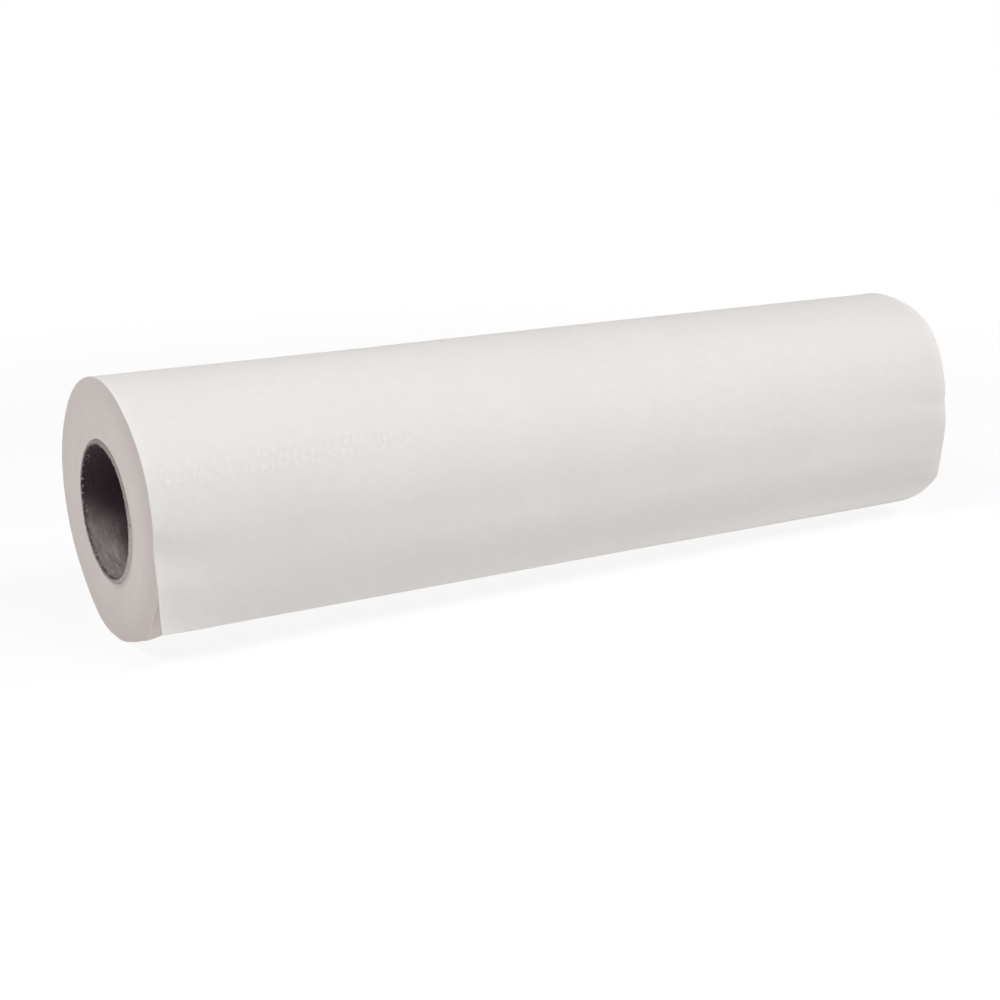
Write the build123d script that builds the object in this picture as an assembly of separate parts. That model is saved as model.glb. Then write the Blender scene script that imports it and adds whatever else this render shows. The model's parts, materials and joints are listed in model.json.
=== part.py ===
from build123d import *
from math import sqrt
import os

# Examination table paper: a wide sheet wound on a paperboard core. The roll lies on its side,
# and the loose end of the sheet hangs down its front.
# +X runs along the roll's axis, -Y is the front, +Z is up, and the origin is the middle of the core.
# Every length is in millimetres.

# Driving sizes
sheet_width = 355.6
roll_diameter = 93.6
core_bore_diameter = 46.8
core_wall = 2.2
flat_spot_width = 12.0

# Core
core_stand_out = 0.6
core_rim_wear = 0.5

# Winding: the sheet at its loose end, and how the turns sit on the core and beside each other
sheet_thickness = 0.4
winding_clearance = 0.1
loose_turns_depth = 4.8
tight_turns_stand_out = 0.2

# Line of the winding on each end of the roll, a spiral groove between groups of turns
winding_pitch = 3.0
winding_groove_width = 0.25
winding_groove_depth = 0.15
winding_margin = 1.4

# Loose end of the sheet: where it lifts off the roll, how far it hangs and leans out at the
# near end, and the curve that it takes round the roll at the far end
lift_off_drop = 9.4
hang_drop = 21.4
hang_lean = 3.1
far_curl_radius = 35.0
far_curl_angle = 72.5

# Angles and counts
half_turn = 180
half_turns_per_turn = 2

# Cutters run past what they cut by this much
overrun = 1.0

# Sizes that follow from the ones above
roll_radius = roll_diameter / 2
bore_radius = core_bore_diameter / 2
core_radius = bore_radius + core_wall
wound_bore_radius = core_radius + winding_clearance
tight_radius = roll_radius - loose_turns_depth
tight_width = sheet_width + tight_turns_stand_out * 2
core_length = tight_width + core_stand_out * 2
upper_radius = roll_radius - sheet_thickness / 4
upper_centre = upper_radius - roll_radius
lower_radius = roll_radius - sheet_thickness * 3 / 4
lower_centre = -upper_centre
flat_spot_drop = sqrt(lower_radius**2 - (flat_spot_width / 2) ** 2)


def make_core():
    """Paperboard tube, turned from its wall's section, with the edges of both rims worn off."""
    wall_middle = (bore_radius + core_radius) / 2
    wall = Pos(0, wall_middle) * Rectangle(core_length, core_wall)
    wall = chamfer(wall.vertices(), core_rim_wear)
    return revolve(wall, Axis.X)


def turn_outline():
    """Section of the wound sheet: one turn of a spiral from two half circles.

    The sheet ends at the front, so the upper half starts one thickness further out there than
    the lower half ends. Between them is the step that the loose end closes, down to where it
    lifts off.
    """
    lift_off_y = lower_centre - sqrt(lower_radius**2 - lift_off_drop**2)

    front = (-roll_radius, 0)
    top = (upper_centre, upper_radius)
    back = (upper_centre + upper_radius, 0)
    flat_back = (lower_centre + flat_spot_width / 2, -flat_spot_drop)
    flat_front = (lower_centre - flat_spot_width / 2, -flat_spot_drop)
    lift_off = (lift_off_y, -lift_off_drop)
    front_low = (-roll_radius, -lift_off_drop)
    return [
        ThreePointArc(front, top, back),
        ThreePointArc(back, lower_arc_point(back, flat_back), flat_back),
        Line(flat_back, flat_front),
        ThreePointArc(flat_front, lower_arc_point(flat_front, lift_off), lift_off),
        Line(lift_off, front_low),
        Line(front_low, front),
    ]


def lower_arc_point(start, end):
    """Point of the lower half circle that lies halfway between two of its points."""
    centre = Vector(lower_centre, 0)
    middle = (Vector(*start) + Vector(*end)) / 2 - centre
    return centre + middle.normalized() * lower_radius


def make_wound_body():
    """The turns as one solid: the outer turns, and the tighter ones that stand out a little."""
    outline = Plane.YZ * make_face(turn_outline())
    outer_turns = extrude(outline, sheet_width / 2, both=True)
    tight_turns = extrude(Plane.YZ * Circle(tight_radius), tight_width / 2, both=True)
    bore = extrude(Plane.YZ * Circle(wound_bore_radius), tight_width / 2 + overrun, both=True)
    return outer_turns + tight_turns - bore


def winding_line(first_radius, half_turns):
    """Spiral of half circles about two centres in turn, one pitch further out each turn."""
    arcs = []
    for step in range(half_turns):
        odd = step % half_turns_per_turn
        centre = (odd * winding_pitch / half_turns_per_turn, 0)
        radius = first_radius + step * winding_pitch / half_turns_per_turn
        arcs.append(CenterArc(centre, radius, odd * half_turn, half_turn))
    return arcs


def make_winding_groove():
    """Spiral groove in the end of the tight turns, as a solid that stands on its floor."""
    first_radius = wound_bore_radius + winding_margin
    room = tight_radius - winding_margin - winding_groove_width - first_radius
    half_turns = int(room / winding_pitch) * half_turns_per_turn
    inner = winding_line(first_radius, half_turns)
    outer = winding_line(first_radius + winding_groove_width, half_turns)
    start = Line(inner[0] @ 0, outer[0] @ 0)
    end = Line(inner[-1] @ 1, outer[-1] @ 1)
    band = make_face(inner + outer + [start, end])
    return extrude(band, winding_groove_depth + overrun)


def cut_winding_grooves(body):
    """The winding's line on both ends of the roll."""
    groove = make_winding_groove()
    floor = tight_width / 2 - winding_groove_depth
    near_end = Plane(origin=(-floor, 0, 0), x_dir=(0, 1, 0), z_dir=(-1, 0, 0))
    far_end = Plane(origin=(floor, 0, 0), x_dir=(0, 1, 0), z_dir=(1, 0, 0))
    return body - near_end * groove - far_end * groove


def hanging_section():
    """Loose end at the near end of the roll: it hangs from the lift-off line, leaning out."""
    outer = (-roll_radius, -lift_off_drop)
    inner = (-roll_radius + sheet_thickness, -lift_off_drop)
    outer_edge = (outer[0] - hang_lean, outer[1] - hang_drop)
    inner_edge = (inner[0] - hang_lean, outer_edge[1])
    return [
        Line(outer, outer_edge),
        Line(outer_edge, inner_edge),
        Line(inner_edge, inner),
        Line(inner, outer),
    ]


def curled_section():
    """Loose end at the far end of the roll: it leaves straight down and curls round the roll."""
    centre = (-roll_radius + far_curl_radius, -lift_off_drop)
    inner_radius = far_curl_radius - sheet_thickness
    outer_arc = CenterArc(centre, far_curl_radius, half_turn, far_curl_angle)
    inner_arc = CenterArc(centre, inner_radius, half_turn, far_curl_angle)
    return [
        outer_arc,
        Line(outer_arc @ 1, inner_arc @ 1),
        inner_arc,
        Line(inner_arc @ 0, outer_arc @ 0),
    ]


def make_loose_end():
    """The sheet below the lift-off line, a ruled surface from the near end to the far end."""
    near = Plane.YZ.offset(-sheet_width / 2) * make_face(hanging_section())
    far = Plane.YZ.offset(sheet_width / 2) * make_face(curled_section())
    return loft([near, far], ruled=True)


def make_paper():
    """The whole wound sheet, its turns and its loose end, as one solid."""
    return cut_winding_grooves(make_wound_body()) + make_loose_end()


os.makedirs("parts", exist_ok=True)
export_step(make_core(), "parts/paperboard_core.step")
export_step(make_paper(), "parts/paper_roll.step")
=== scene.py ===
import json
from math import pi, radians

import bpy
import numpy as np
from mathutils import Matrix, Vector


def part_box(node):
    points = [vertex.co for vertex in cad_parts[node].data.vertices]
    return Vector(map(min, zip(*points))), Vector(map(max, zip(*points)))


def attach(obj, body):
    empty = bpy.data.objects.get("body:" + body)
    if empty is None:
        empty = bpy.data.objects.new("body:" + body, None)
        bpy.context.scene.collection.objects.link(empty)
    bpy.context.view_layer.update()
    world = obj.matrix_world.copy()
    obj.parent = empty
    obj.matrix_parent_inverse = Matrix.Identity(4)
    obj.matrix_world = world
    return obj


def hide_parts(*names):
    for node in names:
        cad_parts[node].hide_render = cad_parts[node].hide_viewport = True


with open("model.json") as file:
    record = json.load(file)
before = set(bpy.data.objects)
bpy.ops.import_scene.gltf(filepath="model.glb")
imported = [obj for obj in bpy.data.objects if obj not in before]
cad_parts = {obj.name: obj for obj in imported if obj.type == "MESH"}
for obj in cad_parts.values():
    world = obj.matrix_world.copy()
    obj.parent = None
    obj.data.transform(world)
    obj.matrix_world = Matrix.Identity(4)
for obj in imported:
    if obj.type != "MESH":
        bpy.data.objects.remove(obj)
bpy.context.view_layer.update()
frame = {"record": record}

MM = 0.001

# The roll's sizes, read from the frame. The hang's lean at the near end is the CAD's.
paper_low, paper_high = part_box("paper_roll")
core_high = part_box("paperboard_core")[1]
HANG_LEAN = 3.1 * MM
ROLL_RADIUS = -paper_low[1] - HANG_LEAN
FLAT_DROP = -paper_low[2]
TIGHT_HALF = paper_high[0]
CORE_HALF = core_high[0]
CORE_RADIUS = core_high[1]
BORE_RADIUS = frame["record"]["mounts"][0]["dims"]["r_mm"] * MM

# The wound sheet: its loose end's thickness, how deep its loose outer turns are, how far the
# tight turns below them stand out and half the width of that slope, its gap to the core, and the
# pitch of the winding's line
SHEET = 0.4 * MM
LOOSE_DEPTH = 4.8 * MM
STAND_OUT = 0.2 * MM
STAND_OUT_SLOPE = 1.2 * MM
CORE_GAP = 0.1 * MM
WINDING_PITCH = 3.0 * MM
HALF_WIDTH = TIGHT_HALF - STAND_OUT
TIGHT_RADIUS = ROLL_RADIUS - LOOSE_DEPTH
WOUND_BORE = CORE_RADIUS + CORE_GAP

# Soft edges of both ends: the outermost turn is rounded off and flares, and the ends dish in at
# the bore
EDGE_ROUND = 0.12 * MM
RIM_FLARE = 0.12 * MM
RIM_FLARE_REACH = 2.2 * MM
BORE_DISH = 0.12 * MM
BORE_DISH_REACH = 1.1 * MM

# Groups of turns that stand out of the ends a little more than others: by how many millimetres,
# at how many radians for each millimetre outward, how often round the axis, and from what phase
END_GROUPS = [(0.018, 2.1, 0, 0.5), (0.012, 5.3, 1, 0.0), (0.01, 9.7, -1, 0.0)]

# How far the soft outer turns stand off the true round at each end: at what angle from the
# front over the top, in degrees, and by how many millimetres
NEAR_SLACK = [
    (0, 0.45), (12, 0.5), (24, 1.1), (36, 1.3), (48, 0.8), (60, 0.65), (72, 0.95), (84, 0.95),
    (96, 0.75), (108, 0.3), (120, 0.27), (132, 0.1), (144, -0.2), (156, 0.0), (168, 0.0),
    (180, -0.4), (192, -0.9), (204, -1.4), (216, -1.9), (228, -2.4), (240, -1.7), (252, -0.4),
    (264, -0.25), (276, 0), (288, 0), (300, 0), (312, 0.3), (324, 0.6), (336, 0.6), (348, 0.6),
]
FAR_SLACK = [
    (0, -0.95), (12, -1.5), (24, -0.6), (36, 0.9), (48, 2.05), (60, 1.4), (72, 0.0), (84, -0.5),
    (96, -0.8), (108, -1.2), (120, -1.0), (132, -0.6), (144, -0.3), (156, 0), (168, 0), (180, 0),
    (192, 0), (204, 0), (216, 0), (228, 0), (240, 0), (252, 0), (264, 0), (276, 0), (288, 0),
    (300, 0), (312, 0), (324, 0), (336, 0), (348, -0.45),
]
SLACK_BLEND = 8.5

# Where along the roll that slack reaches, as shares of its length from the near end. The near
# end's is gone at the first. The far end's grows from the second, on a curve towards the third.
NEAR_REACH_END = 0.3
FAR_REACH_START = 0.25
FAR_REACH_END = 1.5

# All along the roll, the turns tuck in low at the front: how far, and the middle and width of
# that in degrees
LOW_TUCK = -1.0 * MM
LOW_TUCK_ANGLE = 288
LOW_TUCK_WIDTH = 16

# How far the turns sag behind the sheet at the near end, where it hangs free of them
SAG = [
    (272, 0), (280, 0.5), (288, 0.8), (296, 1.1), (304, 1.7), (312, 3.4), (318, 3.2), (325, 2.0),
    (331, 2.6), (337, 4.6), (343, 3.0), (349, 0),
]
SAG_BLEND = 4.2
SAG_REACH = 12 * MM

# Dents in the front, at the near end (-1) or the far end (1), in millimetres: how deep, at what
# height at the end and further in, over what length that changes, how tall and how long. Less
# than 0 bulges. They fade out where the roll turns back, between the two places on Y.
DENTS = [
    (-1, 0.45, -3.0, -9.0, 26, 5.5, 8),
    (-1, 0.7, -3.0, -17.0, 26, 6.5, 42),
    (1, 0.55, 4.0, 6.0, 20, 4.2, 14),
    (1, 1.0, -13.5, -13.0, 20, 4.0, 14),
    (1, 0.6, -20.5, -20.5, 20, 3.5, 14),
    (1, -1.1, -26.5, -26.5, 20, 5.0, 14),
    (1, 0.8, -40.0, -40.0, 20, 4.5, 14),
    (1, 0.4, 7.0, 9.0, 20, 2.6, 15),
    (1, 0.15, -6.5, -5.5, 20, 1.7, 16),
]
DENT_FULL = -0.55 * ROLL_RADIUS
DENT_NONE = -0.3 * ROLL_RADIUS

# The loose end of the sheet: where it lifts off the turns, how far it hangs at the near end, and
# the curve that it takes round the roll at the far end
LIFT_OFF = 9.4 * MM
HANG_DROP = 21.4 * MM
CURL_RADIUS = 35.0 * MM
CURL_ANGLE = radians(72.5)

# Its lean at the near end, in shares of HANG_LEAN: a kick down to KICK_END of the hang, a steady
# lean and a flick at the lower edge. The reaches say how far inward along the roll these last.
# Further in, it tucks back under the turns. The turns' slack fades down it.
KICK = 0.2
KICK_END = 0.28
KICK_REACH = 10 * MM
STEADY_LEAN = 0.35
FLICK = 0.45
FLICK_POWER = 6
LEAN_REACH = 16 * MM
HANG_TUCK = 3.0 * MM
TUCK_POWER = 2
SLACK_FADE_POWER = 1.7

# Its lower edge: how much of the sideways change goes into its height, and a sag that comes in
# and goes out again over these shares of the roll's length
EDGE_LEVEL = 0.3
EDGE_SAG = 0.36 * MM
EDGE_SAG_IN = (0.0, 0.04)
EDGE_SAG_OUT = (0.25, 0.7)

# Core: how much thinner it is outside than the CAD's, where each rim starts, and the rim's rows:
# how far inside the end, and for the lip also at what share of the wall
CORE_CLEAR = 0.05 * MM
RIM_START = 3 * MM
RIM_ROWS = np.array([2.0, 1.3, 0.8, 0.5]) * MM
RIM_LIP = [(0.22 * MM, 0.12), (0.05 * MM, 0.3), (0.0, 0.5), (0.05 * MM, 0.72), (0.2 * MM, 0.9)]

# The rims are chewed by chance: waves that go round them so many times, finer bites between two
# limits, and a share that is bitten off all round, all times RIM_RAGGED. Inward it fades as the
# reach over the distance from the end. The rim also thins by up to RIM_THINNING.
RIM_SEED = 7
RIM_WAVES = (3, 7, 12, 19, 31)
RIM_PHASES = 6.28
RIM_WAVE_SHARE = 0.125
RIM_BITES = (-1, 0.35)
RIM_BITTEN = 0.3
RIM_RAGGED = 0.3 * MM
RAGGED_REACH = 0.3 * MM
RIM_THINNING = 0.1 * MM

# Mesh steps: round a section of the sheet, along the roll, and inward over each cut end, as shares
# of the way to the bore
TURN_STEPS = 320
ROOT_STEPS = 8
TAIL_STEPS = 26
STATIONS = 90
STATIONS_INSET = 10 * MM
END_STATIONS = np.array([0, 0.1, 0.3, 0.7, 1.2, 1.9, 2.8, 4.0, 5.6, 7.6]) * MM
FIRST_RING = 0.045
RINGS = np.concatenate([[0.006, 0.02], np.linspace(FIRST_RING, 0.95, 58), [0.965, 0.98, 0.99, 1.0]])
CORE_TURN_STEPS = 320
CORE_STATIONS = 40

# Edges that turn by more than this many degrees stay sharp
SHARP = 30
CORE_SHARP = 45

# The turns behind the free end of the sheet take the cut ends' darker finish as painted shade: how
# many steps of the section, and how many stations from the near end
SHADED_UNDER_SHEET_STEPS = 48
SHADED_UNDER_SHEET_STATIONS = 8

# Camera: where it stands from the middle of the roll, and how it looks
CAMERA_PLACE = Vector((-373.6, -594.0, 175.0)) * MM
CAMERA_YAW = radians(-31.01)
CAMERA_PITCH = radians(90 - 18.82)
CAMERA_ROLL = radians(-0.11)
CAMERA_LENS = 65.07
CAMERA_SENSOR = 36
CAMERA_SHIFT = 0.1
CAMERA_CLIP = 0.01

# Finishes. A noise is given by its scale, detail and roughness, a bump by its distance and
# strength, and a step by the two values that it runs between and what it gives at each, which is
# 0 and 1 where that is left out.

# Side of the sheet: cloudy paper with mottles and fibres, and painted light by its cut edges
PAPER_LIGHT = (0.872, 0.843, 0.819)
PAPER_DARK = (0.849, 0.819, 0.795)
PAPER_MOTTLE_AND_SHADE = (0.825, 0.794, 0.769)
PAPER_FIBRE = (0.90, 0.88, 0.86)
PAPER_PAINTED_LIGHT = (0.91, 0.885, 0.865)
PAPER_CLOUDS = (22.0, 4.0, 0.55)
PAPER_CLOUD_SPAN = (0.36, 0.64)
PAPER_MOTTLES = (260.0, 4.0, 0.6)
PAPER_MOTTLE_STEP = (0.35, 0.7, 0.0, 0.4)
PAPER_FIBRES = (2600.0, 3.0, 0.6)
PAPER_FIBRE_STRETCH = (1, 0.35, 0.35)
PAPER_FIBRE_STEP = (0.58, 0.75, 0.0, 0.35)
PAPER_EDGE_LIGHT_STEP = (0.4 * MM, 5.5 * MM, 1.0, 0.0)
PAPER_EDGE_LIGHT_SHARE = 0.45
PAPER_FORMATION = (420.0, 3.0, 0.55)
PAPER_FORMATION_BUMP = (0.08 * MM, 0.5)
PAPER_FELT = (2300.0, 4.0, 0.65)
PAPER_FELT_BUMP = (0.05 * MM, 0.8)
PAPER_ROUGHNESS = 0.88

# Band of small pressed marks: its angle at the near end, how many radians it climbs over each
# metre of the roll, half its height and the share of that with full marks, and how they fade
# along the roll and in patches
MARKS_ANGLE = radians(154.2)
MARKS_CLIMB = 0.9
MARKS_HALF_ANGLE = radians(8.5)
MARKS_FULL_SHARE = 0.4
MARKS_ALONG_STEP = (-105 * MM, -15 * MM, 1.0, 0.12)
MARKS_PATCHES = (45.0, 2.0)
MARKS_PATCH_STEP = (0.3, 0.5, 0.6, 1.0)

# The marks are ovals in slanted rows, set unevenly and each of its own strength. They are a little
# raised and carry a painted highlight, and the paper between them is darker with painted shade.
MARKS_SPACING = 3.1 * MM
MARKS_ROW_SPACING = 3.7 * MM
MARKS_SLANT = 0.42
MARKS_BEND = 1.6 * MM
MARKS_BEND_NOISE = {"Scale": 330.0, "Detail": 2.0}
MARKS_RANDOMNESS = 0.7
MARKS_HALF_WIDTH = 1.25 * MM
MARKS_HALF_LENGTH = 2.4 * MM
MARKS_EDGE_STEP = (0.2, 1.0, 1.0, 0.0)
MARKS_LEAST = 0.55
MARKS_CHANCE = 0.7
MARKS_BUMP = (0.135 * MM, 1.0)
MARKS_HIGHLIGHT = 0.5
MARKS_GAP_SHADE = 0.22

# Cut ends of the turns: rings along the winding's spiral, darker towards the outside and the front,
# pale turns by the core, and painted shade by the core low at the front and behind the free sheet
END_LIGHT = (0.90, 0.835, 0.80)
END_DARK = (0.86, 0.785, 0.75)
END_RING = (0.81, 0.73, 0.695)
END_OUTER = (0.76, 0.68, 0.65)
END_INNER = (0.93, 0.875, 0.85)
END_BORE_SHADE = (0.50, 0.45, 0.43)
END_UNDER_SHEET_SHADE = (0.68, 0.61, 0.59)
END_WOBBLE = 0.16
END_WOBBLES = (55.0, 2.0)
END_RINGS_EACH_PITCH = 9.0
END_RINGS = (1.0, 5.0, 0.75)
END_RING_STEP = (0.38, 0.68, 0.0, 0.30)
END_BROAD_RINGS = (1.1, 3.0, 0.6)
END_BROAD_STEP = (0.42, 0.66, 0.0, 0.35)
END_CLOUDS = (38.0, 5.0, 0.6)
END_CLOUD_SPAN = (0.36, 0.64)
END_OUTER_STEP = (TIGHT_RADIUS - 8 * MM, ROLL_RADIUS, 0.0, 0.9)
END_OUTER_FRONT_STEP = (10 * MM, -32 * MM, 0.25, 1.0)
END_INNER_STEP = (WOUND_BORE + 0.2 * MM, WOUND_BORE + 2.4 * MM, 0.5, 0.0)
END_BORE_SHADE_STEP = (WOUND_BORE, WOUND_BORE + 3.2 * MM, 0.6, 0.0)
END_BORE_SHADE_FRONT_STEP = (4 * MM, -14 * MM)
END_BORE_SHADE_LOW_STEP = (16 * MM, 0.0)
END_UNDER_SHEET_SHADE_STEP = (0.2 * MM, 0.6 * MM, 0.0, 0.8)
END_FIBRES = (2000.0, 4.0, 0.7)
END_FIBRE_STEP = (0.5, 0.8, 0.0, 0.35)
END_GROOVE_STEP = (0.0, 0.03)
END_FIBRE_BUMP = (0.08 * MM, 0.7)
END_RING_BUMP = (0.10 * MM, 0.6)
END_BROAD_BUMP = (0.15 * MM, 0.5)
END_GROOVE_BUMP = (0.05 * MM, 0.6)
END_ROUGHNESS = 0.95

# Paperboard: grey board with fibres and specks, and bare worn rims with painted light, paler low down
BOARD_LIGHT = (0.45, 0.39, 0.38)
BOARD_DARK = (0.30, 0.25, 0.247)
BOARD_FIBRE = (0.42, 0.37, 0.355)
BOARD_SPECK = (0.07, 0.055, 0.055)
BOARD_WORN_AND_LIT = (0.66, 0.59, 0.57)
BOARD_CLOUDS = (90.0, 5.0, 0.6)
BOARD_CLOUD_SPAN = (0.32, 0.68)
BOARD_FIBRES = (1500.0, 5.0, 0.7)
BOARD_FIBRE_STEP = (0.55, 0.75, 0.0, 0.5)
BOARD_SPECKS = (700.0, 2.0, 0.5)
BOARD_SPECK_STEP = (0.64, 0.70, 0.0, 0.6)
BOARD_BARE_STEP = (2.2 * MM, 1.3 * MM)
BOARD_WORN_STEP = (BORE_RADIUS + 0.2 * MM, CORE_RADIUS - 0.1 * MM)
BOARD_LIT_LOW_STEP = (15 * MM, -6 * MM, 0.1)
BOARD_FIBRE_BUMP = (0.15 * MM, 0.8)
BOARD_ROUGHNESS = 0.92

# Its lining inside the bore, with painted shade above and deep inside, and torn in streaks below
LINING_DARK_AND_SHADE = (0.046, 0.025, 0.033)
LINING_TORN = (0.60, 0.52, 0.51)
LINING_STEP = (BORE_RADIUS + 0.3 * MM, BORE_RADIUS + 0.9 * MM, 1.0, 0.0)
LINING_SLANT = 0.75
LINING_LOW_STEP = (5 * MM, -14 * MM)
LINING_SHADE_SHARE = 0.93
LINING_DEEP_SHADE_STEP = (7 * MM, 14 * MM, 0.0, 0.82)
LINING_STREAK_TURNS = 55.0
LINING_STREAK_STRETCH = (3.5, 0.9, 1)
LINING_STREAKS = (4.0, 6.0, 0.65)
LINING_STREAK_STEP = (0.48, 0.62)
LINING_STREAK_SHARE = 0.8
LINING_STREAK_BUMP = (0.5 * MM, 0.5)

# Its lip at the rim, dark where it is chewed and pale where it is frayed
LIP_CHEWS = (650.0, 4.0, 0.7)
LIP_CHEW = 2.4 * MM
LIP_STEP = (-0.9 * MM, 0.4 * MM, 1.0, 0.0)
LIP_DARK = 0.85
LIP_FRAYS = (800.0, 3.0, 0.6)
LIP_FRAY_STEP = (0.57, 0.66)
LIP_FRAY_RIM_STEP = (3.0 * MM, 0.8 * MM, 0.0, 0.75)

# Seam of its spiral ply
PLY_WIDTH = 52 * MM
PLY_SEAM_STEP = (0.0, 0.02)
PLY_SEAM_DARK = 0.22
PLY_SEAM_BUMP = (0.12 * MM, 0.5)

# Floor: half its side, and what the camera and reflections see of it: its colour, which shows the
# roll's shadow, and its glow. Both give way to plain white over a span of metres from the middle.
FLOOR_HALF = 4.0
FLOOR_SHADE = 0.2
FLOOR_GLOW = 0.84
FLOOR_FADE = (0.25, 0.65)

# What lights the object apart from the lamps: the floor's colour and glow, and the world
FLOOR_BOUNCE = 0.55
FLOOR_FILL = 0.37
WORLD_LIGHT = 0.01

# Lamps: where each stands, what it points at, how wide it is in metres, and its power in watts
LAMPS = {
    "overhead": ((0.1, -0.05, 1.3), (0, 0, 0), 1.4, 2.43),
    "front_high": ((0.2, -0.9, 1.1), (0, 0, 0), 0.6, 6.38),
    "left_high": ((-0.8, -0.3, 0.95), (-0.18, 0, 0), 0.5, 6.53),
    "right_high": ((0.9, -0.5, 0.9), (0.12, 0, 0), 0.4, 4.4),
}


def smooth(low, high, value):
    """0 below low, 1 above high, and a smooth rise between them."""
    share = np.clip((value - low) / (high - low), 0, 1)
    return share * share * (3 - 2 * share)


def blended(angle, table, width):
    """A smooth curve through a table of angles and millimetres."""
    at, value = np.array(table).T
    gap = (np.asarray(angle)[..., None] - at + 180) % 360 - 180
    weight = np.exp(-((gap / width) ** 2))
    return (weight * value).sum(-1) / (weight.sum(-1) + 1e-12) * MM


def slack(angle, x):
    """How far the outer turns stand off the true round, at an angle from the front over the top."""
    share = (x + HALF_WIDTH) / (2 * HALF_WIDTH)
    far = smooth(FAR_REACH_START, FAR_REACH_END, share) / smooth(FAR_REACH_START, FAR_REACH_END, 1)
    near = 1 - smooth(0.0, NEAR_REACH_END, share)
    rim = np.exp(-((HALF_WIDTH - abs(x)) / RIM_FLARE_REACH))
    off = far * blended(angle, FAR_SLACK, SLACK_BLEND) + near * blended(angle, NEAR_SLACK, SLACK_BLEND)
    tuck = LOW_TUCK * np.exp(-(((angle - LOW_TUCK_ANGLE) / LOW_TUCK_WIDTH) ** 2))
    return off + tuck + RIM_FLARE * rim


def sag(angle, x):
    """How far the turns sag behind the part of the sheet that hangs free."""
    return blended(angle, SAG, SAG_BLEND) * np.exp(-(((x + HALF_WIDTH) / SAG_REACH) ** 2))


def dent(x, z):
    """How far the front is pushed in, at a place along the roll and a height."""
    total = 0
    for end, *sizes in DENTS:
        deep, end_height, inner_height, change, tall, long = (size * MM for size in sizes)
        inward = HALF_WIDTH - end * x
        centre = inner_height + (end_height - inner_height) * np.exp(-inward / change)
        total = total + deep * np.exp(-inward / long) * np.exp(-(((z - centre) / tall) ** 2))
    return total


def turn_points(x):
    """The outer turn in one section, from the front over the top to the lift-off line below."""
    last = 360 - np.degrees(np.arcsin(LIFT_OFF / (ROLL_RADIUS - SHEET)))
    angle = np.linspace(0, last, TURN_STEPS)
    radius = ROLL_RADIUS - SHEET * angle / 360 + slack(angle, x) + sag(angle, x)
    y = -radius * np.cos(np.radians(angle))
    z = radius * np.sin(np.radians(angle))
    return np.column_stack([y, np.maximum(z, -FLAT_DROP)])


def tail_points(x, depth):
    """One face of the loose end in one section, depth metres behind its outer face."""
    share = (x + HALF_WIDTH) / (2 * HALF_WIDTH)
    v = np.linspace(0, 1, TAIL_STEPS)
    inward = x + HALF_WIDTH
    flare = np.exp(-inward / LEAN_REACH)
    kick = KICK * smooth(0, KICK_END, v) * np.exp(-inward / KICK_REACH)
    lean = HANG_LEAN * (kick + (STEADY_LEAN * v + FLICK * v**FLICK_POWER) * flare)
    tuck = HANG_TUCK * (1 - flare) * v**TUCK_POWER
    drop = HANG_DROP + (HANG_LEAN - lean[-1] + tuck[-1]) * EDGE_LEVEL
    drop += EDGE_SAG * smooth(*EDGE_SAG_IN, share) * (1 - smooth(*EDGE_SAG_OUT, share))
    hang = np.column_stack([-ROLL_RADIUS + depth - lean + tuck, -LIFT_OFF - drop * v])
    turn = CURL_ANGLE * v
    radius = CURL_RADIUS - depth
    curl_y = -ROLL_RADIUS + CURL_RADIUS - radius * np.cos(turn)
    curl = np.column_stack([curl_y, -LIFT_OFF - radius * np.sin(turn)])
    points = hang * (1 - share) + curl * share
    points[:, 0] -= slack(0.0, x) * (1 - v) ** SLACK_FADE_POWER
    return points


def section(x):
    """The whole outline at one place along the roll, as a closed loop of points."""
    inner = tail_points(x, SHEET)
    outer = tail_points(x, 0.0)[::-1]
    turn = turn_points(x)
    root = np.linspace(outer[-1], turn[0], ROOT_STEPS + 1)[1:-1]
    points = np.concatenate([inner, outer, root, turn])
    points[:, 0] += dent(x, points[:, 1]) * smooth(DENT_NONE, DENT_FULL, points[:, 0])
    return points


def loop_faces(first, second, count, flip=False):
    """Quads between two closed loops of vertices that start at first and second."""
    faces = []
    for i in range(count):
        j = (i + 1) % count
        quad = (first + i, second + i, second + j, first + j)
        faces.append(quad[::-1] if flip else quad)
    return faces


def paper_mesh():
    """Vertices and faces of the sheet, and the faces with the cut ends' finish, some as painted shade.
    """
    middle = np.linspace(-HALF_WIDTH + STATIONS_INSET, HALF_WIDTH - STATIONS_INSET, STATIONS)
    stations = np.concatenate([-HALF_WIDTH + END_STATIONS, middle, HALF_WIDTH - END_STATIONS[::-1]])
    verts = []
    loops = []
    for x in stations:
        points = section(x)
        if abs(x) == HALF_WIDTH:
            points[2 * TAIL_STEPS:] *= 1 - EDGE_ROUND / ROLL_RADIUS
        loops.append(len(verts))
        verts += [(x, y, z) for y, z in points]
    count = 2 * TAIL_STEPS + ROOT_STEPS - 1 + TURN_STEPS
    faces = []
    for a, b in zip(loops, loops[1:]):
        faces += loop_faces(a, b, count)
    side_faces = len(faces)
    # Painted shade: the turns behind the free end, by the near end, take the cut ends' darker finish
    behind = range(count - SHADED_UNDER_SHEET_STEPS, count)
    loose = [station * count + i for station in range(SHADED_UNDER_SHEET_STATIONS) for i in behind]
    near_rim, size = add_end(verts, faces, loops[0], count, -1)
    far_rim, size = add_end(verts, faces, loops[-1], count, 1)
    faces += loop_faces(near_rim, far_rim, size, flip=True)
    return verts, faces, loose + list(range(side_faces, len(faces) - size))


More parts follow.
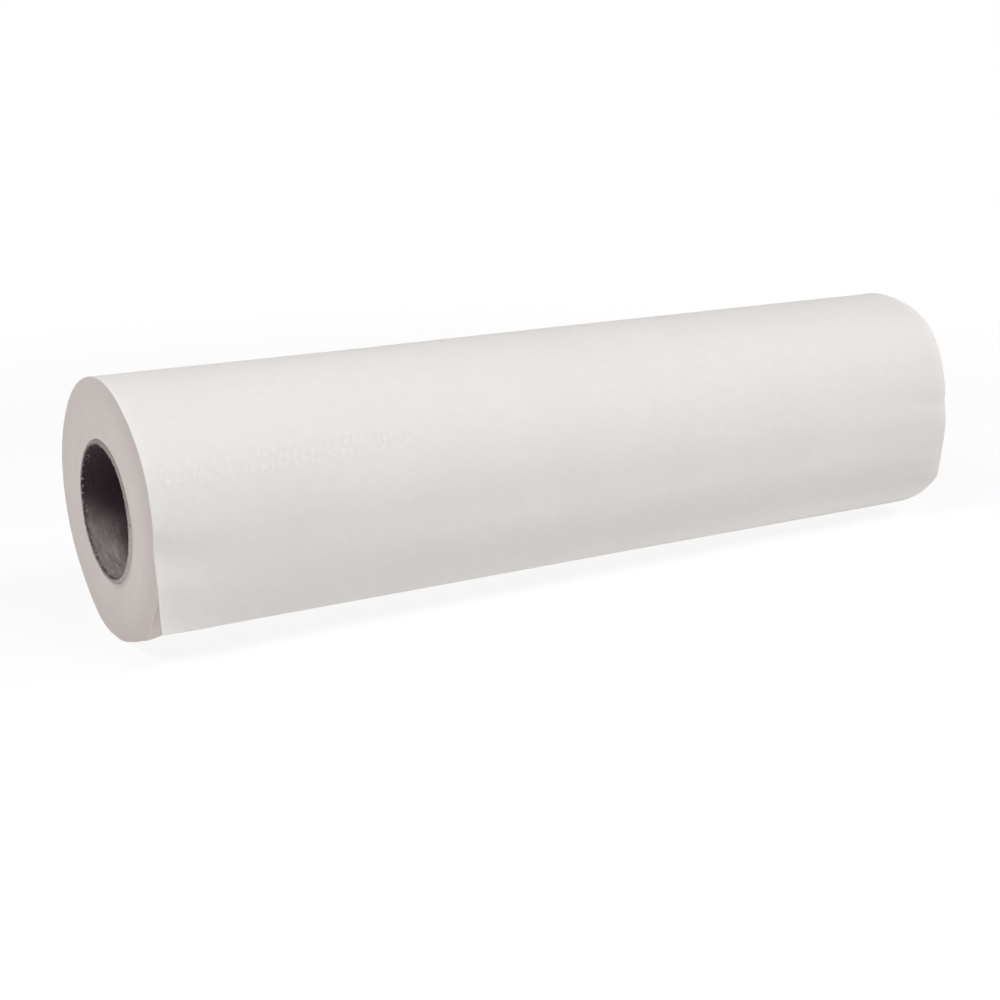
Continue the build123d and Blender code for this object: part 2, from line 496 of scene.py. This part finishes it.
def end_height(radius, angle):
    """How far the cut ends of the turns stand out from the outermost ones, at each radius."""
    slope = (TIGHT_RADIUS + STAND_OUT_SLOPE, TIGHT_RADIUS - STAND_OUT_SLOPE)
    stand_out = STAND_OUT * smooth(*slope, radius)
    groups = 0
    for height, rate, turns, phase in END_GROUPS:
        groups = groups + height * np.sin(radius / MM * rate + angle * turns + phase)
    dish = BORE_DISH * smooth(WOUND_BORE + BORE_DISH_REACH, WOUND_BORE, radius) ** 2
    return stand_out + groups * MM - dish


def add_end(verts, faces, loop, count, way):
    """One cut end of the sheet: the strip of the loose end and the rings of the turns."""
    for i in range(TAIL_STEPS - 1):
        opposite = 2 * TAIL_STEPS - 1 - i
        quad = (loop + i, loop + i + 1, loop + opposite - 1, loop + opposite)
        faces.append(quad if way < 0 else quad[::-1])
    ring = [loop] + [loop + i for i in range(2 * TAIL_STEPS - 1, count)]
    points = np.array([verts[i] for i in ring])
    edge = np.hypot(points[:, 1], points[:, 2])
    angle = np.arctan2(points[:, 2], points[:, 1])
    direction = points[:, 1:] / edge[:, None]
    previous = ring
    for step in RINGS:
        radius = edge + (WOUND_BORE - edge) * step
        start = len(verts)
        place = way * (HALF_WIDTH + end_height(radius, angle) * min(step / FIRST_RING, 1))
        verts += [(p, y * r, z * r) for p, (y, z), r in zip(place, direction, radius)]
        current = list(range(start, start + len(ring)))
        for i in range(len(ring)):
            j = (i + 1) % len(ring)
            quad = (previous[i], current[i], current[j], previous[j])
            faces.append(quad if way > 0 else quad[::-1])
        previous = current
    return previous[0], len(ring)


def new_object(name, verts, faces, sharp=SHARP):
    """An object with a smooth mesh, apart from edges that turn more than sharp degrees."""
    mesh = bpy.data.meshes.new(name)
    mesh.from_pydata([tuple(map(float, v)) for v in verts], [], faces)
    mesh.validate()
    mesh.shade_smooth()
    mesh.set_sharp_from_angle(angle=radians(sharp))
    made = bpy.data.objects.new(name, mesh)
    bpy.context.collection.objects.link(made)
    return made


def make_paper():
    """The wound sheet with its loose end, which stands for the CAD's."""
    verts, faces, cut_ends_and_painted_shade = paper_mesh()
    roll = new_object("wound_sheet", verts, faces)
    roll.data.materials.append(paper_side_material())
    roll.data.materials.append(paper_end_material())
    for index in cut_ends_and_painted_shade:
        roll.data.polygons[index].material_index = 1
    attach(roll, "root")
    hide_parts("paper_roll")


def core_profile():
    """Section of the tube's wall as rows of (x, radius, how ragged), in a closed loop."""
    wall = CORE_RADIUS - CORE_CLEAR - BORE_RADIUS
    rows = []
    along = np.linspace(-CORE_HALF + RIM_START, CORE_HALF - RIM_START, CORE_STATIONS)
    for way, stations, height in ((1, along, 0.0), (-1, along[::-1], wall)):
        rows += [(x, BORE_RADIUS + height, 0.0) for x in stations]
        rows += [(way * (CORE_HALF - d), BORE_RADIUS + height, RAGGED_REACH / d) for d in RIM_ROWS]
        for depth, share in RIM_LIP:
            across = share if way > 0 else 1 - share
            rows.append((way * (CORE_HALF - depth), BORE_RADIUS + wall * across, 1.0))
        opposite = BORE_RADIUS + wall - height
        rows += [(way * (CORE_HALF - d), opposite, RAGGED_REACH / d) for d in RIM_ROWS[::-1]]
    return rows


def make_core():
    """The paperboard tube with its chewed rims, which stands for the CAD's."""
    rows = core_profile()
    turn = np.linspace(0, 2 * np.pi, CORE_TURN_STEPS, endpoint=False)
    rng = np.random.default_rng(RIM_SEED)
    waves = sum(np.sin(turn * k + rng.uniform(0, RIM_PHASES)) / k**0.5 for k in RIM_WAVES)
    verts = []
    for x, radius, ragged in rows:
        bites = rng.uniform(*RIM_BITES, CORE_TURN_STEPS)
        chew = ragged * RIM_RAGGED * (RIM_WAVE_SHARE * waves + bites - RIM_BITTEN)
        place = x + np.sign(x) * np.minimum(chew, 0)
        thinning = ragged * RIM_THINNING * rng.uniform(-1, 0, CORE_TURN_STEPS)
        across = radius + thinning * np.sign(radius - (BORE_RADIUS + CORE_RADIUS) / 2)
        verts += list(zip(place, across * np.cos(turn), across * np.sin(turn)))
    faces = []
    n = CORE_TURN_STEPS
    for row in range(len(rows)):
        faces += loop_faces(row * n, (row + 1) % len(rows) * n, n)
    core = new_object("core_tube", verts, faces, CORE_SHARP)
    core.data.materials.append(paperboard_material())
    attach(core, "root")
    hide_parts("paperboard_core")


class Nodes:
    """A material's node tree, with short calls to add and join its nodes."""

    def __init__(self, name):
        self.material = bpy.data.materials.new(name)
        self.material.use_nodes = True
        self.tree = self.material.node_tree
        self.shader = self.tree.nodes["Principled BSDF"]

    def add(self, kind, inputs=None, **settings):
        """A node, with values or other nodes' outputs for some of its inputs."""
        node = self.tree.nodes.new(kind)
        for key, value in settings.items():
            setattr(node, key, value)
        for key, value in (inputs or {}).items():
            if isinstance(value, bpy.types.NodeSocket):
                self.tree.links.new(value, node.inputs[key])
            else:
                node.inputs[key].default_value = value
        return node

    def math(self, operation, first, second=0.0, third=0.0):
        inputs = {0: first, 1: second, 2: third}
        return self.add("ShaderNodeMath", inputs, operation=operation).outputs[0]

    def step(self, value, low, high, start=0.0, end=1.0):
        """A smooth step from start to end as the value goes from low to high."""
        inputs = {"Value": value, "From Min": low, "From Max": high, "To Min": start, "To Max": end}
        return self.add("ShaderNodeMapRange", inputs, interpolation_type="SMOOTHSTEP").outputs[0]

    def noise(self, place, scale, detail, roughness=0.5):
        inputs = {"Vector": place, "Scale": scale, "Detail": detail, "Roughness": roughness}
        return self.add("ShaderNodeTexNoise", inputs).outputs["Fac"]

    def stretched(self, place, x, y, z):
        return self.add("ShaderNodeMapping", {"Vector": place, "Scale": (x, y, z)}).outputs[0]

    def combine(self, x, y=0.0):
        return self.add("ShaderNodeCombineXYZ", {0: x, 1: y}).outputs[0]

    def separate(self, vector):
        return self.add("ShaderNodeSeparateXYZ", {0: vector}).outputs

    def vector(self, operation, first, second):
        inputs = {0: first, 1: second}
        return self.add("ShaderNodeVectorMath", inputs, operation=operation).outputs[0]

    def length(self, vector):
        return self.add("ShaderNodeVectorMath", {0: vector}, operation="LENGTH").outputs["Value"]

    def ramp(self, value, span, dark, light):
        """A colour from dark to light as the value goes through a span."""
        node = self.add("ShaderNodeValToRGB", {"Fac": value})
        for element, place, colour in zip(node.color_ramp.elements, span, (dark, light)):
            element.position = place
            element.color = colour + (1,)
        return node.outputs["Color"]

    def mix(self, share, first, second):
        """A colour from first to second, which is always a plain colour, by a share."""
        node = self.add("ShaderNodeMix", {0: share, 6: first, 7: second + (1,)}, data_type="RGBA")
        return node.outputs[2]

    def bump(self, height, distance, strength, normal=None):
        """Relief by a height, on top of another bump's normal where that is given."""
        inputs = {"Height": height, "Distance": distance, "Strength": strength}
        if normal:
            inputs["Normal"] = normal
        return self.add("ShaderNodeBump", inputs).outputs["Normal"]

    def polar(self):
        """The object's own place, and from it the place along the axis, radius and angle round it."""
        place = self.add("ShaderNodeTexCoord").outputs["Object"]
        x, y, z = self.separate(place)
        squares = self.math("ADD", self.math("MULTIPLY", y, y), self.math("MULTIPLY", z, z))
        angle = self.math("ARCTAN2", z, y)
        return place, x, self.math("SQRT", squares), angle

    def finish(self, colour, normal, roughness):
        """The material, with its colour and normal joined to the shader."""
        self.tree.links.new(colour, self.shader.inputs["Base Color"])
        self.tree.links.new(normal, self.shader.inputs["Normal"])
        self.shader.inputs["Roughness"].default_value = roughness
        return self.material


def paper_side_material():
    """White smooth sheet: cloudy formation, a band of small marks, and painted light and shade."""
    made = Nodes("paper_side")
    place, x, _, angle = made.polar()

    colour = made.ramp(made.noise(place, *PAPER_CLOUDS), PAPER_CLOUD_SPAN, PAPER_DARK, PAPER_LIGHT)
    mottle = made.noise(place, *PAPER_MOTTLES)
    colour = made.mix(made.step(mottle, *PAPER_MOTTLE_STEP), colour, PAPER_MOTTLE_AND_SHADE)
    fibre = made.noise(made.stretched(place, *PAPER_FIBRE_STRETCH), *PAPER_FIBRES)
    colour = made.mix(made.step(fibre, *PAPER_FIBRE_STEP), colour, PAPER_FIBRE)

    # Painted light: the paper is paler within a few millimetres of its cut edges
    inward = made.math("SUBTRACT", HALF_WIDTH, made.math("ABSOLUTE", x))
    edge = made.step(inward, *PAPER_EDGE_LIGHT_STEP)
    colour = made.mix(made.math("MULTIPLY", edge, PAPER_EDGE_LIGHT_SHARE), colour, PAPER_PAINTED_LIGHT)

    band = marks_band(made, place, x, angle)
    mark = mark_ovals(made, place, x, angle)
    pressed_and_highlight = made.math("MULTIPLY", mark, band)
    gap = made.math("MULTIPLY", made.math("SUBTRACT", 1.0, mark), band)

    formation = made.noise(place, *PAPER_FORMATION)
    normal = made.bump(formation, *PAPER_FORMATION_BUMP)
    felt = made.noise(place, *PAPER_FELT)
    normal = made.bump(felt, *PAPER_FELT_BUMP, normal)
    normal = made.bump(pressed_and_highlight, *MARKS_BUMP, normal)
    # Painted highlight on the marks, and painted shade on the paper between them
    colour = made.mix(made.math("MULTIPLY", pressed_and_highlight, MARKS_HIGHLIGHT), colour, PAPER_PAINTED_LIGHT)
    colour = made.mix(made.math("MULTIPLY", gap, MARKS_GAP_SHADE), colour, PAPER_MOTTLE_AND_SHADE)
    return made.finish(colour, normal, PAPER_ROUGHNESS)


def marks_band(made, place, x, angle):
    """How plain the marks are: 1 along the middle of their band, fading out round it."""
    along = made.step(x, *MARKS_ALONG_STEP)
    middle = made.math("MULTIPLY_ADD", x, -MARKS_CLIMB, MARKS_ANGLE - MARKS_CLIMB * HALF_WIDTH)
    down = made.math("ABSOLUTE", made.math("SUBTRACT", angle, middle))
    band = made.step(down, MARKS_FULL_SHARE * MARKS_HALF_ANGLE, MARKS_HALF_ANGLE, 1.0, 0.0)
    patchy = made.step(made.noise(place, *MARKS_PATCHES), *MARKS_PATCH_STEP)
    return made.math("MULTIPLY", made.math("MULTIPLY", along, band), patchy)


def mark_ovals(made, place, x, angle):
    """The marks themselves: highest in the middle of each oval, 0 between them."""
    arc = made.math("MULTIPLY", angle, ROLL_RADIUS)
    grid = made.combine(made.math("ADD", x, made.math("MULTIPLY", arc, MARKS_SLANT)), arc)
    bend = made.add("ShaderNodeTexNoise", {"Vector": place, **MARKS_BEND_NOISE}).outputs["Color"]
    grid = made.vector("ADD", grid, made.stretched(bend, MARKS_BEND, MARKS_BEND, MARKS_BEND))
    grid = made.stretched(grid, 1 / MARKS_SPACING, 1 / MARKS_ROW_SPACING, 1)
    cells = {"Vector": grid, "Scale": 1.0, "Randomness": MARKS_RANDOMNESS}
    cell = made.add("ShaderNodeTexVoronoi", cells, feature="F1", voronoi_dimensions="2D")

    # The way from the cell's middle, back in metres and without the rows' slant
    away = made.separate(made.vector("SUBTRACT", grid, cell.outputs["Position"]))
    rise = made.math("MULTIPLY", away[1], MARKS_ROW_SPACING)
    run = made.math("MULTIPLY_ADD", away[0], MARKS_SPACING, made.math("MULTIPLY", rise, -MARKS_SLANT))
    across = made.math("DIVIDE", run, MARKS_HALF_WIDTH)
    up = made.math("DIVIDE", rise, MARKS_HALF_LENGTH)
    mark = made.step(made.length(made.combine(across, up)), *MARKS_EDGE_STEP)

    chance = made.math("MULTIPLY", made.separate(cell.outputs["Color"])[0], MARKS_CHANCE)
    return made.math("MULTIPLY", mark, made.math("ADD", MARKS_LEAST, chance))


def paper_end_material():
    """Cut edges of the turns: fine rings in uneven groups, the winding's spiral and painted shade."""
    made = Nodes("paper_end")
    place, x, radius, angle = made.polar()
    turns = made.math("DIVIDE", angle, 2 * pi)
    wound = made.math("ADD", made.math("DIVIDE", radius, WINDING_PITCH), turns)

    wobble = made.math("MULTIPLY", made.noise(place, *END_WOBBLES), END_WOBBLE)
    wound_soft = made.math("ADD", wound, wobble)
    fine = made.combine(made.math("MULTIPLY", wound_soft, END_RINGS_EACH_PITCH))
    rings = made.noise(fine, *END_RINGS)
    broad = made.noise(made.combine(wound_soft), *END_BROAD_RINGS)

    colour = made.ramp(made.noise(place, *END_CLOUDS), END_CLOUD_SPAN, END_DARK, END_LIGHT)
    colour = made.mix(made.step(rings, *END_RING_STEP), colour, END_RING)
    colour = made.mix(made.step(broad, *END_BROAD_STEP), colour, END_RING)
    _, y, z = made.separate(place)
    outer = made.step(radius, *END_OUTER_STEP)
    outer = made.math("MULTIPLY", outer, made.step(y, *END_OUTER_FRONT_STEP))
    colour = made.mix(outer, colour, END_OUTER)
    colour = made.mix(made.step(radius, *END_INNER_STEP), colour, END_INNER)
    # Painted shade on the paper by the bore, at the front and low down
    bore_shade = made.step(radius, *END_BORE_SHADE_STEP)
    bore_shade = made.math("MULTIPLY", bore_shade, made.step(y, *END_BORE_SHADE_FRONT_STEP))
    bore_shade = made.math("MULTIPLY", bore_shade, made.step(z, *END_BORE_SHADE_LOW_STEP))
    colour = made.mix(bore_shade, colour, END_BORE_SHADE)
    # Painted shade on the turns that lie inward of the end, behind the free end of the sheet
    inward = made.math("SUBTRACT", HALF_WIDTH, made.math("ABSOLUTE", x))
    colour = made.mix(made.step(inward, *END_UNDER_SHEET_SHADE_STEP), colour, END_UNDER_SHEET_SHADE)
    fibre = made.noise(place, *END_FIBRES)
    colour = made.mix(made.step(fibre, *END_FIBRE_STEP), colour, END_RING)

    line = made.math("ABSOLUTE", made.math("SUBTRACT", made.math("FRACT", wound), 0.5))
    groove = made.step(line, *END_GROOVE_STEP)
    normal = made.bump(fibre, *END_FIBRE_BUMP)
    normal = made.bump(rings, *END_RING_BUMP, normal)
    normal = made.bump(broad, *END_BROAD_BUMP, normal)
    normal = made.bump(groove, *END_GROOVE_BUMP, normal)
    return made.finish(colour, normal, END_ROUGHNESS)


def paperboard_material():
    """Grey recycled board: matted fibres, pale and dark specks, and the seam of its spiral ply."""
    made = Nodes("paperboard")
    place, x, radius, angle = made.polar()

    colour = made.ramp(made.noise(place, *BOARD_CLOUDS), BOARD_CLOUD_SPAN, BOARD_DARK, BOARD_LIGHT)
    lining = made.step(radius, *LINING_STEP)
    height = made.separate(place)[2]
    inward = made.math("SUBTRACT", CORE_HALF, made.math("ABSOLUTE", x))
    depth = made.math("MULTIPLY", inward, LINING_SLANT)
    low = made.step(made.math("ADD", height, depth), *LINING_LOW_STEP)
    # Painted shade on the lining: darker above a slanting line and deep inside the bore
    painted_shade = made.math("MULTIPLY", lining, made.math("SUBTRACT", 1.0, low))
    deep = made.math("MULTIPLY", lining, made.step(inward, *LINING_DEEP_SHADE_STEP))
    painted_shade = made.math("MAXIMUM", made.math("MULTIPLY", painted_shade, LINING_SHADE_SHARE), deep)

    chewed = made.math("MULTIPLY", made.noise(place, *LIP_CHEWS), LIP_CHEW)
    lip = made.step(made.math("SUBTRACT", inward, chewed), *LIP_STEP)
    lip = made.math("MULTIPLY", lip, lining)
    # Worn rims and painted light: the tube's end and outer wall near it are paler, more so low down
    bare = made.step(inward, *BOARD_BARE_STEP)
    worn_and_lit = made.step(radius, *BOARD_WORN_STEP)
    worn_and_lit = made.math("MULTIPLY", worn_and_lit, made.step(height, *BOARD_LIT_LOW_STEP))
    colour = made.mix(made.math("MULTIPLY", bare, worn_and_lit), colour, BOARD_WORN_AND_LIT)

    twist = made.combine(made.math("MULTIPLY", x, LINING_STREAK_TURNS), angle)
    streaks = made.noise(made.stretched(twist, *LINING_STREAK_STRETCH), *LINING_STREAKS)
    torn = made.step(streaks, *LINING_STREAK_STEP)
    torn = made.math("MULTIPLY", torn, made.math("MULTIPLY", lining, low))
    colour = made.mix(made.math("MULTIPLY", torn, LINING_STREAK_SHARE), colour, LINING_TORN)

    fibre = made.noise(place, *BOARD_FIBRES)
    colour = made.mix(made.step(fibre, *BOARD_FIBRE_STEP), colour, BOARD_FIBRE)
    speck = made.noise(place, *BOARD_SPECKS)
    colour = made.mix(made.step(speck, *BOARD_SPECK_STEP), colour, BOARD_SPECK)
    # The lining's painted shade goes on here
    colour = made.mix(painted_shade, colour, LINING_DARK_AND_SHADE)
    colour = made.mix(made.math("MULTIPLY", lip, LIP_DARK), colour, LINING_DARK_AND_SHADE)
    frayed = made.step(made.noise(place, *LIP_FRAYS), *LIP_FRAY_STEP)
    frayed = made.math("MULTIPLY", frayed, made.step(inward, *LIP_FRAY_RIM_STEP))
    colour = made.mix(made.math("MULTIPLY", frayed, lining), colour, LINING_TORN)

    ply = made.math("ADD", made.math("DIVIDE", x, PLY_WIDTH), made.math("DIVIDE", angle, 2 * pi))
    seam = made.math("ABSOLUTE", made.math("SUBTRACT", made.math("FRACT", ply), 0.5))
    seam = made.step(seam, *PLY_SEAM_STEP)
    beside = made.math("MULTIPLY", seam, PLY_SEAM_DARK)
    colour = made.mix(made.math("SUBTRACT", PLY_SEAM_DARK, beside), colour, LINING_DARK_AND_SHADE)
    normal = made.bump(fibre, *BOARD_FIBRE_BUMP)
    normal = made.bump(streaks, *LINING_STREAK_BUMP, normal)
    normal = made.bump(seam, *PLY_SEAM_BUMP, normal)
    return made.finish(colour, normal, BOARD_ROUGHNESS)


def make_stage():
    """The floor: white to the camera, with the roll's shadow, and a soft fill light from below."""
    corners = [(-1, -1), (1, -1), (1, 1), (-1, 1)]
    verts = [(x * FLOOR_HALF, y * FLOOR_HALF, -FLAT_DROP) for x, y in corners]
    floor = new_object("floor", verts, [(0, 1, 2, 3)])
    made = Nodes("floor")
    path = made.add("ShaderNodeLightPath").outputs
    seen = made.math("MAXIMUM", path["Is Camera Ray"], path["Is Glossy Ray"])
    seen = made.math("MAXIMUM", seen, path["Is Transmission Ray"])
    place = made.add("ShaderNodeTexCoord").outputs["Object"]
    far = made.step(made.length(place), *FLOOR_FADE)
    shade = made.math("MULTIPLY", FLOOR_SHADE, made.math("SUBTRACT", 1.0, far))
    glow = made.math("ADD", FLOOR_GLOW, made.math("MULTIPLY", far, 1 - FLOOR_GLOW))
    bounce = made.math("MULTIPLY", FLOOR_BOUNCE, made.math("SUBTRACT", 1.0, seen))
    albedo = made.math("ADD", bounce, made.math("MULTIPLY", shade, seen))
    made.tree.links.new(albedo, made.shader.inputs["Base Color"])
    fill = made.math("MULTIPLY", FLOOR_FILL, made.math("SUBTRACT", 1.0, seen))
    glow = made.math("ADD", made.math("MULTIPLY", seen, glow), fill)
    made.tree.links.new(glow, made.shader.inputs["Emission Strength"])
    made.shader.inputs["Roughness"].default_value = 1.0
    made.shader.inputs["Specular IOR Level"].default_value = 0.0
    made.shader.inputs["Emission Color"].default_value = (1, 1, 1, 1)
    floor.data.materials.append(made.material)


def make_world():
    """A white world for the camera and reflections, which hardly lights the object."""
    world = bpy.data.worlds.new("studio")
    world.use_nodes = True
    bpy.context.scene.world = world
    tree = world.node_tree
    back = tree.nodes["Background"]
    path = tree.nodes.new("ShaderNodeLightPath")
    seen = tree.nodes.new("ShaderNodeMath")
    seen.operation = "MAXIMUM"
    tree.links.new(path.outputs["Is Camera Ray"], seen.inputs[0])
    tree.links.new(path.outputs["Is Glossy Ray"], seen.inputs[1])
    level = tree.nodes.new("ShaderNodeMapRange")
    level.inputs["To Min"].default_value = WORLD_LIGHT
    level.inputs["To Max"].default_value = 1.0
    tree.links.new(seen.outputs[0], level.inputs["Value"])
    tree.links.new(level.outputs[0], back.inputs["Strength"])
    back.inputs["Color"].default_value = (1, 1, 1, 1)


def make_light(name, place, aim, size, power):
    """A square lamp that points at a place."""
    data = bpy.data.lights.new(name, "AREA")
    data.size = size
    data.energy = power
    light = bpy.data.objects.new(name, data)
    light.location = place
    light.rotation_euler = (Vector(aim) - Vector(place)).to_track_quat("-Z", "Y").to_euler()
    bpy.context.collection.objects.link(light)


def make_camera():
    """The camera at the photograph's viewing angle."""
    data = bpy.data.cameras.new("camera")
    data.lens = CAMERA_LENS
    data.sensor_width = CAMERA_SENSOR
    data.shift_y = CAMERA_SHIFT
    data.clip_start = CAMERA_CLIP
    camera = bpy.data.objects.new("camera", data)
    turn = Matrix.Rotation(CAMERA_YAW, 4, "Z") @ Matrix.Rotation(CAMERA_PITCH, 4, "X")
    camera.matrix_world = Matrix.Translation(CAMERA_PLACE) @ turn @ Matrix.Rotation(CAMERA_ROLL, 4, "Z")
    bpy.context.collection.objects.link(camera)
    bpy.context.scene.camera = camera


bpy.context.scene.view_settings.view_transform = "Standard"
make_camera()
make_world()
make_stage()
for name, lamp in LAMPS.items():
    make_light(name, *lamp)
make_paper()
make_core()
